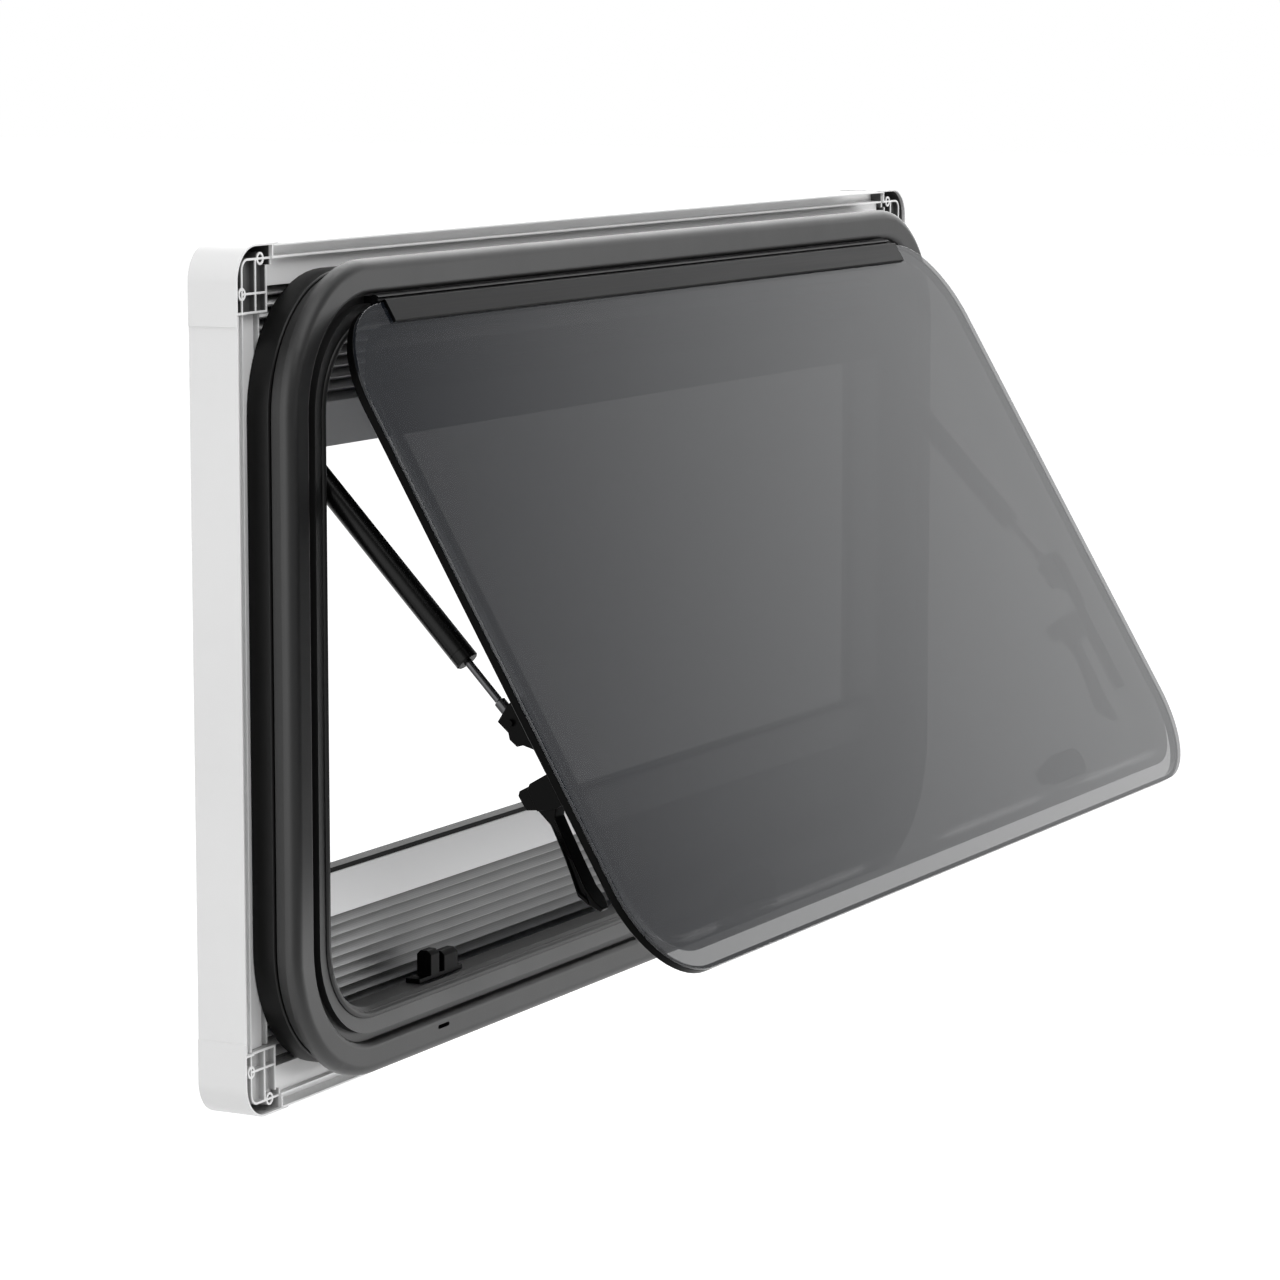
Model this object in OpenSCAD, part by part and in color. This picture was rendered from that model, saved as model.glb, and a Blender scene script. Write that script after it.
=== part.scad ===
// Top-hung caravan window: outer frame with rounded lip, double-glazed sash held
// open on two telescopic stays, and the blind cassette that lines the room side.
// Millimetres. +X right, -Y outdoors, +Z up. The origin is on the wall face of the
// outer flange, at the middle of the bottom edge of the wall cut-out.

/* [Wall cut-out] */
// Width of the hole in the wall
cutout_w = 1050; // [700:1:1400]
// Height of the hole in the wall
cutout_h = 560; // [480:1:800]
// Corner radius of the hole in the wall
cutout_r = 97; // [85:1:130]
// Thickness of the wall between flange and cassette
wall_t = 24; // [20:1:40]

/* [Outer frame] */
// How far the lip laps over the wall
lip_lap = 6; // [2:0.5:10]
// Width of the rounded lip
lip_w = 24; // [18:0.5:28]
// How far the lip stands out from the wall
lip_h = 10; // [9.5:0.5:14]
// Width of the groove inside the lip
groove_w = 6.5; // [4:0.5:8]
// Depth of the groove inside the lip
groove_d = 7; // [5:0.5:8]
// Width of the sloping ledge the sash closes on
ledge_w = 18; // [14:0.5:26]
// Height of the ledge next to the groove
ledge_h = 9; // [8:0.5:9]
// Drop of the ledge from the groove to its inner edge
ledge_drop = 2.5; // [1:0.5:4]
// Depth of the sill behind the inner edge of the ledge
sill_d = 14; // [14:1:18]
// Thickness of the spigot that passes through the wall
spigot_t = 7; // [4:0.5:9]
// Gap between the spigot and the edge of the cut-out
spigot_gap = 5; // [4.5:0.5:6]
// Depth of the seat for the seal in the back of the flange
seat_d = 0.8; // [0.5:0.1:2]
// Length of a drain slot in the lower lip
drain_w = 16; // [8:1:24]
// Height of a drain slot
drain_h = 3; // [2:0.5:4]
// Distance of each drain slot from the side of the cut-out
drain_in = 192; // [150:1:260]

/* [Clamp frame] */
// Depth of the clamp frame that sleeves over the spigot
clamp_d = 17.8; // [14:0.2:26]
// Free width between the flange and the clamp frame
clamp_gap = 12.6; // [8:0.2:14]
// Distance of the clamp frame from the edge of the cut-out
clamp_clear = 0.8; // [0.3:0.1:1.5]

/* [Sash] */
// Opening angle of the sash
sash_angle = 30.3; // [15:0.1:55]
// Gap between the lip and the closed sash
sash_gap = 6; // [4:0.5:9]
// Width of the seal the closed sash rests on
seal_w = 5.5; // [3:0.5:8]
// Thickness of the outer pane
pane_t = 3; // [2.5:0.25:4]
// Thickness of the inner pane
inner_t = 2.4; // [2:0.2:3]
// Depth of the black edge of the sash, with the outer pane
edge_d = 9.2; // [8:0.2:11]
// Thickness of the black edge
edge_t = 3.4; // [2:0.2:5]
// Distance of the inner pane's pan from the edge of the sash
inner_inset = 22; // [16:1:26]
// Width of the pan's sloping side
pan_slope = 5; // [2:0.5:10]
// Depth of the whole sash
sash_d = 17; // [14:0.5:18]

/* [Hinge] */
// Length of the hinge
hinge_l = 850; // [500:10:850]
// Distance of the hinge pin line below the lip
hinge_below = 4.9; // [4.8:0.1:8]
// Distance of the hinge pin line behind the front of the pane
hinge_behind = 6; // [5:0.1:7]
// How far the pin line stands out from the wall
hinge_out = 11.3; // [10.5:0.1:12]
// Radius of the hinge bead
bead_r = 3; // [2.6:0.1:3.2]
// Height of the hinge strip on the pane
strip_h = 16; // [10:0.5:24]

/* [Stays] */
// Distance of each stay from the jamb
stay_gap = 2.3; // [1.5:0.1:6]
// Diameter of the stay tube
tube_d = 17; // [14:0.5:20]
// Length of rod between the tube and the sash pivot
rod_out = 53; // [30:1:90]
// Diameter of the stay rod
rod_d = 5.6; // [4:0.2:7]
// Diameter of both pivot pins
pin_d = 5; // [4:0.5:6]
// Distance of the frame pivot below the hinge
stay_drop = 114.6; // [100:0.1:130]
// Distance of the frame pivot behind the wall face of the flange
stay_in = 8; // [6:0.5:9]
// Distance of the sash pivot below the top of the pane
stay_reach = 303; // [285:1:330]
// Height of the sash pivot over the inner pane
stay_lift = 11; // [10:0.5:14]

/* [Latches] */
// Distance of the side latches below the stay's pivot on the sash
latch_below = 41.5; // [34:0.5:60]
// Distance of the side latches from the side of the pane
latch_inset = 36; // [34:1:60]
// Length of a side latch with its lever
latch_l = 100; // [80:1:120]
// Width of a side latch
latch_w = 20; // [16:1:24]
// Distance of the bottom latches from the side of the pane
bottom_latch_in = 208.5; // [150:0.5:260]
// Distance of the bottom latches from the lower edge of the pane
bottom_latch_up = 43.6; // [40:0.2:60]
// Length of a bottom latch
bottom_latch_l = 63; // [50:1:80]
// Distance of each keeper from the side of the cut-out
keeper_in = 206; // [150:0.5:260]
// Length of a keeper's base
keeper_l = 62; // [40:1:70]

/* [Cassette] */
// How far the cassette laps over the wall
cassette_lap = 20; // [16:1:30]
// Depth of the cassette from the wall into the room
cassette_d = 39; // [36:1:50]
// Width of the cassette's face on the room side
face_w = 45; // [40:1:60]
// Thickness of the cassette's walls
cassette_t = 1.6; // [1.2:0.1:2.2]
// Length of a corner cap
corner_l = 55; // [50:1:70]
// Outer radius of a corner cap
corner_r = 25; // [20:1:40]
// How far a corner cap stands proud of the rails
corner_proud = 0.8; // [0.4:0.1:1.2]
// How far a corner cap sleeves over the rails
sleeve_l = 8; // [4:1:12]
// Distance of the inner wall from the outer edge
channel_w = 9.5; // [8.5:0.5:11]

/* [Blind and flyscreen] */
// Height of the top of the lower end rail over the cut-out's edge
blind_z = 135.5; // [100:1:250]
// Height of the bottom of the upper end rail over the cut-out's edge
screen_z = 434; // [300:0.5:450]
// Height of an end rail
end_rail_h = 31.5; // [24:1:36]
// Depth of an end rail
end_rail_d = 20; // [16:1:24]
// Height of one pleat
pleat_h = 7.8; // [6:0.2:12]
// Depth of the pleats
pleat_d = 14; // [8:1:16]

/* [Hidden] */
$fn = 48;

over = 1;                 // overrun of every cut
fit = 0.3;                // clearance between pieces that seat on each other
black = [0.07, 0.07, 0.075];
dark = [0.16, 0.16, 0.17];
white = [0.9, 0.9, 0.9];
grey = [0.55, 0.56, 0.57];

lip_in = lip_w - lip_lap;             // lip's inner edge, inside the cut-out's edge
ledge_start = lip_in + groove_w;
ledge_end = ledge_start + ledge_w;    // inner edge of the frame
lip_round = lip_w / 3;                // outer edge of the lip
lip_nose = lip_w / 5;                 // inner edge of the lip
ledge_nose = 2;
spigot_in = spigot_gap + spigot_t;
clamp_back = clamp_gap + clamp_d;

hinge_y = -hinge_out;
hinge_z = cutout_h - lip_in - hinge_below;
pane_drop = bead_r + 1;               // pane's top edge below the pin line
sash_w = cutout_w - 2 * (lip_in + sash_gap);
sash_h = hinge_z - pane_drop - lip_in - sash_gap;
sash_r = cutout_r - lip_in - sash_gap;

jamb_x = cutout_w / 2 - ledge_end;
stay_x = jamb_x - stay_gap - tube_d / 2;
stay_z = hinge_z - stay_drop;
eye_r = pin_d;                        // eyes of the stay, round both pins
// the sash pivot, turned with the sash about the hinge pin line
pivot_in = sash_d + stay_lift - hinge_behind;
pivot_down = pane_drop + stay_reach;
pivot_y = hinge_y + pivot_in * cos(sash_angle) - pivot_down * sin(sash_angle);
pivot_z = hinge_z - pivot_in * sin(sash_angle) - pivot_down * cos(sash_angle);
stay_l = norm([pivot_y - stay_in, pivot_z - stay_z]);
stay_tilt = atan2(stay_in - pivot_y, stay_z - pivot_z);
tube_end = stay_l - rod_out;

cass_w = cutout_w + 2 * cassette_lap;
cass_h = cutout_h + 2 * cassette_lap;
cass_back = wall_t + cassette_d;
face_in = face_w - cassette_lap;      // room face's inner edge, inside the cut-out's edge
channel_out = cassette_lap - channel_w;   // inner wall, outside the cut-out's edge
web_d = 12;                           // depth of the web between the cassette's two walls
inner_step = 2;                       // inner walls, set back from the cassette's outer edge
cap_end = corner_l - sleeve_l;        // end plates of a corner cap
seat_y = max(clamp_back, wall_t + inner_step) + fit;
screen_gap = 1;
blind_y = seat_y + cassette_t + screen_gap;
slot_w = 7.5;                         // slot between the two walls of a side guide
guide_in = 6;                         // how far the blind runs into the side guides
blind_w = cutout_w - 2 * face_in + 2 * guide_in;
guide_out = guide_in + cassette_t + slot_w + fit - face_in;   // outer wall of a side guide
strip_t = 3.5;
pleat_t = 1.2;

// Points given as shares of a length
function share(points, length) = [for (p = points) [p[0] * length, p[1] * length]];

// Drawing plane (x, z) raised along +Y
module upright() mirror([0, 1, 0]) rotate([90, 0, 0]) children();

// Drawing plane (y, z) raised along X, centred
module sideways(width) rotate([90, 0, 90]) linear_extrude(width, center = true) children();

// Rectangle with rounded corners, standing on z = 0
module rounded(w, h, r) translate([0, h / 2]) union() {
    square([w - 2 * r, h], center = true);
    square([w, h - 2 * r], center = true);
    for (x = [-1, 1], z = [-1, 1]) translate([x * (w / 2 - r), z * (h / 2 - r)]) circle(r);
}

// Profile drawn as (outwards, depth) swept round a rounded rectangle standing on z = 0
module ring(w, h, r) upright() translate([0, h / 2]) for (k = [0:3]) {
    half = k % 2 == 0 ? w / 2 : h / 2;
    run = k % 2 == 0 ? h - 2 * r : w - 2 * r;
    rotate([0, 0, 90 * k]) {
        translate([half, run / 2, 0]) rotate([90, 0, 0]) linear_extrude(run) children();
        translate([half - r, run / 2, 0]) rotate_extrude(angle = 90) translate([r, 0]) children();
    }
}

module cutout_ring() ring(cutout_w, cutout_h, cutout_r) children();

// Rectangle between two corners given as (outwards, depth)
module bar(a, b) translate([min(a[0], b[0]), min(a[1], b[1])])
    square([abs(b[0] - a[0]), abs(b[1] - a[1])]);

// Rod along +Z with chamfered ends
module chamfered(length, d, chamfer) rotate_extrude() polygon([
    [0, 0], [d / 2 - chamfer, 0], [d / 2, chamfer],
    [d / 2, length - chamfer], [d / 2 - chamfer, length], [0, length],
]);

// Pin across X, centred
module cross_pin(length, r) rotate([0, 90, 0]) cylinder(h = length, r = r, center = true);

// Places a child drawn on the closed sash, hung from the pin line, at the opening angle
module on_sash() translate([0, hinge_y, hinge_z]) rotate([-sash_angle, 0, 0])
    translate([0, -hinge_behind, -pane_drop - sash_h]) children();

module mirrored(side) if (side > 0) children(); else mirror([1, 0, 0]) children();

// Outer frame
module lip_profile() union() {
    translate([lip_lap - lip_round, -lip_h + lip_round]) intersection() {
        circle(lip_round);
        bar([0, 0], [lip_round, -lip_round]);
    }
    translate([-lip_in + lip_nose, -lip_h + lip_nose]) intersection() {
        circle(lip_nose);
        bar([0, 0], [-lip_nose, -lip_nose]);
    }
    bar([lip_lap - lip_round, -lip_h], [-lip_in + lip_nose, -lip_h + lip_nose]);
    bar([lip_lap - lip_round, -lip_h + lip_nose], [-lip_in, -lip_h + lip_round]);
    bar([lip_lap, -lip_h + lip_round], [-lip_in, 0]);
}

module ledge_profile() polygon([
    [-lip_in, -lip_h + groove_d], [-ledge_start, -lip_h + groove_d],
    [-ledge_start, -ledge_h], [-ledge_end + ledge_nose, -ledge_h + ledge_drop],
    [-ledge_end, -ledge_h + ledge_drop + ledge_nose], [-ledge_end, sill_d],
    [-spigot_in, sill_d], [-spigot_in, clamp_back - fit], [-spigot_gap, clamp_back - fit],
    [-spigot_gap, 0], [-lip_in, 0],
]);

module outer_frame() color(dark) difference() {
    cutout_ring() difference() {
        union() {
            lip_profile();
            ledge_profile();
        }
        // seat of the wall seal
        bar([-spigot_gap, -seat_d], [-spigot_gap / 2 + fit, over]);
    }
    // pocket for the hinge rail in the top run
    translate([-hinge_l / 2 - fit, -lip_h - over, hinge_z - 2 * bead_r])
        cube([hinge_l + 2 * fit, over + groove_d, cutout_h - lip_in - hinge_z + 2 * bead_r]);
    // drain slots in the face of the lower lip
    for (side = [-1, 1]) translate([side * (cutout_w / 2 - drain_in), -lip_h - over, lip_in - lip_w / 3])
        upright() linear_extrude(over + lip_h - ledge_nose) oval(drain_w, drain_h);
}

module clamp_frame() color(black) cutout_ring() {
    lead = 1;
    polygon([
        [-spigot_gap + fit, clamp_gap], [-clamp_clear - lead, clamp_gap],
        [-clamp_clear, clamp_gap + lead], [-clamp_clear, clamp_back], [-spigot_gap + fit, clamp_back],
    ]);
}

module wall_seal() color(black) cutout_ring()
    bar([-spigot_gap + fit, -seat_d + fit], [-spigot_gap / 2, clamp_gap - fit]);

module sash_seal() color(black) cutout_ring() {
    seal_h = seal_w / 3;
    arc_r = (seal_w * seal_w / 4 + seal_h * seal_h) / (2 * seal_h);
    root = ledge_nose + fit;              // from the ledge's inner edge
    slope = atan2(ledge_drop, ledge_w - ledge_nose);
    translate([-ledge_end, -ledge_h + ledge_drop]) rotate(-slope) translate([root, -fit])
        intersection() {
            translate([seal_w / 2, arc_r - seal_h]) circle(arc_r);
            bar([0, 0], [seal_w, -seal_h - over]);
        }
}

// Hinge
module hinge_rail() color(black) {
    wall = 1.2;
    socket_r = bead_r + fit;
    foot_l = 3 * bead_r;
    mouth = 4 * bead_r;
    translate([-hinge_l / 2, hinge_y, hinge_z]) rotate([90, 0, 90]) linear_extrude(hinge_l) {
        difference() {
            circle(socket_r + wall);
            circle(socket_r);
            rotate(-15) translate([-mouth, -mouth]) square([2 * mouth, mouth]);
            rotate(140) square([mouth, mouth]);
        }
        translate([socket_r, fit - 2 * bead_r]) square([hinge_out - lip_h + groove_d - socket_r, foot_l]);
    }
}

module hinge_strip() color(black) on_sash() translate([0, 0, sash_h]) {
    proud = 2.5;
    cap = 1.2;
    lead = 0.8;
    low = -strip_h;
    high = fit + cap;
    sideways(hinge_l) {
        polygon([
            [0, low], [-proud + lead, low], [-proud, low + lead],
            [-proud, high - lead], [-proud + lead, high], [0, high],
        ]);
        translate([-proud + lead, fit]) square([proud - lead + edge_d, cap]);
        translate([hinge_behind, pane_drop]) circle(bead_r);
    }
}

// Sash
module outer_pane() color([0.45, 0.47, 0.49, 0.6]) on_sash()
    upright() linear_extrude(pane_t) rounded(sash_w, sash_h, sash_r);

module edge_trim() color(black) on_sash() ring(sash_w, sash_h, sash_r) {
    lead = 1;
    polygon([
        [-edge_t, pane_t], [0, pane_t], [0, edge_d - lead], [-lead, edge_d],
        [-edge_t + lead, edge_d], [-edge_t, edge_d - lead],
    ]);
}

module inner_pane() color([0.5, 0.52, 0.54, 0.5]) on_sash() translate([0, 0, inner_inset]) {
    foot = 7;
    w = sash_w - 2 * inner_inset;
    h = sash_h - 2 * inner_inset;
    r = sash_r - inner_inset;
    ring(w, h, r) polygon([
        [foot, pane_t], [foot, pane_t + inner_t], [0, pane_t + inner_t],
        [-pan_slope, sash_d], [-pan_slope - inner_t, sash_d],
        [-pan_slope - inner_t, sash_d - inner_t], [-inner_t, pane_t],
    ]);
    translate([0, sash_d - inner_t, pan_slope]) upright() linear_extrude(inner_t)
        rounded(w - 2 * pan_slope, h - 2 * pan_slope, r - pan_slope);
}

// Stays
module stay_frame(side) translate([side * stay_x, stay_in, stay_z]) rotate([-stay_tilt, 0, 0]) children();

module frame_bracket(side) color(black) translate([side * jamb_x, stay_in, stay_z]) mirrored(-side) {
    plate = stay_gap - fit;
    plate_r = sill_d - stay_in - fit;
    plate_h = 2.4 * plate_r;
    head_x = stay_gap + tube_d + fit;     // from the jamb to the head of the pin
    head_r = 0.8 * pin_d;
    for (z = [-plate_h / 2, plate_h / 2]) translate([0, 0, z])
        rotate([0, 90, 0]) cylinder(h = plate, r = plate_r);
    translate([0, -plate_r, -plate_h / 2]) cube([plate, 2 * plate_r, plate_h]);
    rotate([0, 90, 0]) cylinder(h = head_x + plate, r = pin_d / 2);
    translate([head_x, 0, 0]) rotate([0, 90, 0]) cylinder(h = plate, r = head_r);
}

module stay_tube(side) color(black) stay_frame(side) {
    chamfer = 1;
    cap_l = tube_d / 2;
    seam = 0.5;
    difference() {
        translate([0, 0, -tube_end]) chamfered(tube_end + eye_r, tube_d, chamfer);
        cross_pin(tube_d + over, pin_d / 2 + fit);
        translate([0, 0, -tube_end - over]) cylinder(h = tube_end + over - tube_d, d = rod_d + 2 * fit);
        translate([0, 0, cap_l - tube_end]) difference() {
            cylinder(h = seam, d = tube_d + over, center = true);
            cylinder(h = seam + over, d = tube_d - 2 * seam, center = true);
        }
    }
}

module stay_rod(side) color(grey) translate([side * stay_x, pivot_y, pivot_z])
    rotate([-stay_tilt, 0, 0]) {
        inside = 50;
        socket_l = 16;
        chamfer = 1;
        difference() {
            union() {
                cross_pin(tube_d / 2, eye_r);
                translate([0, 0, eye_r / 2]) chamfered(socket_l, tube_d / 2, chamfer);
                cylinder(h = rod_out + inside, d = rod_d);
            }
            cross_pin(tube_d, pin_d / 2 + fit);
        }
    }

// outline of a cheek, from the pivot's foot on the inner pane
cheek_share = [
    [0, 0.3], [0.15, 0.3], [0.28, 0.235], [0.49, 0.13], [0.405, -0.12], [0.44, -0.23], [0.375, -0.395],
    [0.26, -0.425], [0.09, -0.6], [0, -0.6],
];

module sash_bracket(side) color(black) on_sash()
    translate([side * stay_x, sash_d, sash_h - stay_reach]) {
        plate = 3;
        cheek = 2;
        cheek_in = tube_d / 4 + fit;
        bracket_w = tube_d + cheek;
        bracket_h = 4 * stay_lift - plate - fit;
        top = eye_r + 2 * cheek;
        tail = latch_below - 1;
        sideways(bracket_w) polygon([[0, top], [plate, top], [plate, -tail], [0, -tail]]);
        for (s = [-1, 1]) translate([s * (cheek_in + cheek / 2), 0, 0])
            sideways(cheek) polygon(share(cheek_share, bracket_h));
        sideways(2 * cheek_in) polygon([
            [0, -eye_r - cheek], [stay_lift, -eye_r - cheek], [stay_lift, -2 * eye_r - cheek], [0, -3 * eye_r],
        ]);
        translate([0, stay_lift, 0]) cross_pin(bracket_w, pin_d / 2);
    }

// Latches
block_share = [
    [0, 0], [0.216, 0], [0.25, -0.03], [0.259, -0.188],
    [0.11, -0.235], [0.03, -0.235], [0.03, -0.76], [0, -0.76],
];
cam_share = [
    [0.1, -0.03], [0.216, -0.01], [0.33, -0.005], [0.355, -0.03], [0.35, -0.143], [0.27, -0.18],
    [0.229, -0.31], [0.236, -0.473], [0.257, -0.66], [0.281, -0.822], [0.2, -0.985], [0.17, -0.975],
    [0.198, -0.8], [0.19, -0.6], [0.18, -0.42], [0.17, -0.28], [0.11, -0.2],
];
channel_share = [
    [0.215, -0.3], [0.223, -0.473], [0.243, -0.66], [0.262, -0.8], [0.225, -0.88],
    [0.212, -0.8], [0.203, -0.6], [0.193, -0.42], [0.186, -0.3],
];

module on_latch(side) on_sash()
    translate([side * (sash_w / 2 - latch_inset), sash_d, sash_h - stay_reach - latch_below]) children();

module latch_base(side) color(black) on_latch(side) difference() {
    cam_l = latch_w * 0.65 + 2 * fit;
    hollow = 0.06 * latch_l;
    sideways(latch_w) polygon(share(block_share, latch_l));
    translate([-cam_l / 2, hollow, -latch_l / 4]) cube([cam_l, latch_l, latch_l / 2]);
}

module latch_lever(side) color(black) on_latch(side) {
    cam_l = latch_w * 0.65;
    channel_t = 1.5;
    axle_in = 0.16 * latch_l;
    axle_down = -0.1 * latch_l;
    plan = [
        [0.065, 0], [0.065, -0.19], [0.08, -0.8], [0.08, -0.9], [0.03, -1], [-0.03, -1],
        [-0.08, -0.9], [-0.08, -0.8], [-0.065, -0.19], [-0.065, 0],
    ];
    difference() {
        intersection() {
            sideways(latch_w) polygon(share(cam_share, latch_l));
            upright() linear_extrude(latch_l) polygon(share(plan, latch_l));
        }
        for (s = [-1, 1]) translate([s * latch_w / 2, 0, 0])
            sideways(latch_w - cam_l + 2 * channel_t) polygon(share(channel_share, latch_l));
    }
    translate([0, axle_in, axle_down]) cross_pin(cam_l, pin_d);
}

module oval(length, width) {
    for (s = [-1, 1]) translate([s * (length - width) / 2, 0]) circle(d = width);
    square([length - width, width], center = true);
}

module on_bottom_latch(side) on_sash()
    translate([side * (sash_w / 2 - bottom_latch_in), sash_d, bottom_latch_up]) children();

module bottom_latch(side) color(black) on_bottom_latch(side) {
    base_w = 0.37 * bottom_latch_l;
    base_h = 0.08 * bottom_latch_l;
    hub_h = 0.2 * bottom_latch_l;
    upright() linear_extrude(base_h) oval(bottom_latch_l, base_w);
    upright() cylinder(h = hub_h, d = 0.8 * base_w);
}

module bottom_lever(side) color(black) on_bottom_latch(side) {
    base_w = 0.37 * bottom_latch_l;
    hub_h = 0.2 * bottom_latch_l;
    lever_t = 0.1 * bottom_latch_l;
    translate([0, hub_h + fit, 0]) upright() linear_extrude(lever_t) {
        oval(0.9 * bottom_latch_l, 0.6 * base_w);
        circle(d = 0.9 * base_w);
    }
}

module keeper(side) color(black) translate([side * (cutout_w / 2 - keeper_in), 0, ledge_end])
    mirrored(side) {
        base_h = 3.5;
        base_d = 12;
        slot = 0.11 * keeper_l;
        outer_w = 0.2 * keeper_l;
        inner_w = 0.32 * keeper_l;
        outer_h = 0.34 * keeper_l;
        inner_h = 0.28 * keeper_l;
        translate([-keeper_l / 2, 0, 0]) cube([keeper_l, base_d, base_h]);
        translate([slot / 3, 0, 0]) bevelled_tab(base_d, outer_h, outer_w);
        translate([-2 * slot / 3 - inner_w, 0, 0]) bevelled_tab(base_d, inner_h, inner_w);
        translate([-slot, base_d / 2, 0]) cube([2 * slot, base_d / 2, outer_h / 2]);
    }

// Upright tab with a bevelled top
module bevelled_tab(depth, height, width) translate([width / 2, 0, 0]) sideways(width) polygon([
    [0, 0], [depth, 0], [depth, height - depth / 4], [3 * depth / 4, height], [depth / 4, height],
    [0, height - depth / 4],
]);

// Cassette
module rail_profile() {
    t = cassette_t;
    top = cassette_lap - corner_proud;
    bar([top - t, wall_t], [top, cass_back]);
    bar([channel_out - t, wall_t + inner_step], [channel_out, cass_back]);
    bar([-face_in, cass_back - t], [top, cass_back]);
    bar([guide_out, seat_y], [channel_out, seat_y + t]);
    bar([channel_out - t, wall_t + web_d], [top, wall_t + web_d + t]);
    bar([-face_in, cass_back - 3 * t], [-face_in + t, cass_back]);
}

// Walls of the slot beside the blind's edge
module guide_walls() for (g = [guide_out, guide_out - slot_w])
    bar([g - cassette_t, seat_y], [g, cass_back]);

module rail_run(length) rotate([90, 0, 0]) linear_extrude(length, center = true) children();

module side_rail(side) color(white) mirrored(side)
    upright() translate([cutout_w / 2, cutout_h / 2, 0]) rail_run(cass_h - 2 * cap_end - 2 * fit) {
        rail_profile();
        guide_walls();
    }

module level_rail(top) color(white) upright() translate([0, cutout_h / 2, 0])
    rotate([0, 0, top ? 90 : -90]) translate([cutout_h / 2, 0, 0])
        rail_run(cass_w - 2 * cap_end - 2 * fit) rail_profile();

// Corner square with its rounded corner, moved in from the outer edges by d
module quarter(d, r) if (corner_l > d) translate([d, d]) difference() {
    square([corner_l - d, corner_l - d]);
    difference() {
        square([r, r]);
        translate([r, r]) circle(r);
    }
}

// Wall of a corner cap, d in from the outer edges, with outer radius r and thickness t
module cap_wall(d, r, low, reach, t) translate([0, 0, low]) linear_extrude(cass_back - low)
    intersection() {
        difference() {
            quarter(d, r);
            quarter(d + t, r - t);
        }
        square([reach, reach]);
    }

// Corner cap drawn from the outer corner of the cassette inwards
module corner_cap(side, top) color(white) mirrored(side)
    upright() translate([cass_w / 2, top ? cass_h - cassette_lap : -cassette_lap, 0])
        mirror([1, 0, 0]) mirror([0, top ? 1 : 0, 0]) {
            t = cassette_t;
            boss_r = 4.5;
            bore_r = 2.8;
            boss_in = 33.4;
            channel_r = 8;
            rib_in = 26.5;
            floor_in = 41.6;
            plate_l = 15;
            front = wall_t + inner_step;
            rib_h = seat_y - front + t;
            cap_wall(0, corner_r, wall_t, cap_end, t);
            cap_wall(0, corner_r, wall_t, corner_l, corner_proud - fit / 2);
            cap_wall(channel_w, channel_r, front, cap_end, t);
            // floor inside the channel
            translate([0, 0, seat_y]) linear_extrude(t) intersection() {
                quarter(channel_w, channel_r);
                square([floor_in, cap_end]);
            }
            // room-side face
            translate([0, 0, cass_back - t]) linear_extrude(t) difference() {
                intersection() {
                    quarter(0, corner_r);
                    square([cap_end, cap_end]);
                }
                quarter(face_w, t);
            }
            // ribs on the floor
            translate([rib_in, channel_w, front]) cube([t, cap_end - channel_w, rib_h]);
            translate([channel_w, boss_in - t / 2, front]) cube([floor_in - channel_w, t, rib_h]);
            translate([floor_in - t, plate_l, front]) cube([t, cap_end - plate_l, rib_h]);
            // end plates
            translate([0, cap_end - t, front]) cube([floor_in, t, rib_h]);
            translate([cap_end - t, 0, front]) cube([t, plate_l, rib_h]);
            for (turn = [0, 1]) mirror([turn, -turn, 0]) {
                translate([cap_end - t, 0, wall_t]) cube([t, channel_w + t, cassette_d]);
                // screw boss
                translate([boss_in, channel_w + t / 2, front]) difference() {
                    cylinder(h = cass_back - front, r = boss_r);
                    translate([0, 0, -over]) cylinder(h = over + cassette_d / 2, r = bore_r);
                }
            }
        }

// Blind and flyscreen
module end_rail(z) translate([0, blind_y, z]) {
    grip = end_rail_d / 4;
    sideways(blind_w) polygon([
        [0, 0], [0, end_rail_h], [end_rail_d, end_rail_h], [end_rail_d, end_rail_h / 2],
        [end_rail_d - grip, end_rail_h / 2 - grip], [end_rail_d - grip, 0],
    ]);
}

module upper_end_rail() color(grey) end_rail(screen_z);

module lower_end_rail() color(grey) end_rail(blind_z - strip_t - end_rail_h);

module blind_strip() color(black) translate([-blind_w / 2, blind_y, blind_z - strip_t])
    cube([blind_w, 0.6 * end_rail_d, strip_t]);

module pleats(z0, z1) {
    n = 2 * floor((z1 - z0) / pleat_h);
    step = (z1 - z0) / n;
    front = [for (i = [0:n]) [i % 2 == 0 ? 0 : pleat_d, z0 + i * step]];
    back = [for (i = [n:-1:0]) [(i % 2 == 0 ? 0 : pleat_d) + pleat_t, z0 + i * step]];
    translate([0, blind_y + (end_rail_d - pleat_d) / 2, 0]) sideways(blind_w) polygon(concat(front, back));
}

module blind() color(grey)
    pleats(fit + cassette_t - channel_out, blind_z - strip_t - end_rail_h);

module flyscreen() color(dark)
    pleats(screen_z + end_rail_h, cutout_h + channel_out - cassette_t - fit);

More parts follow.
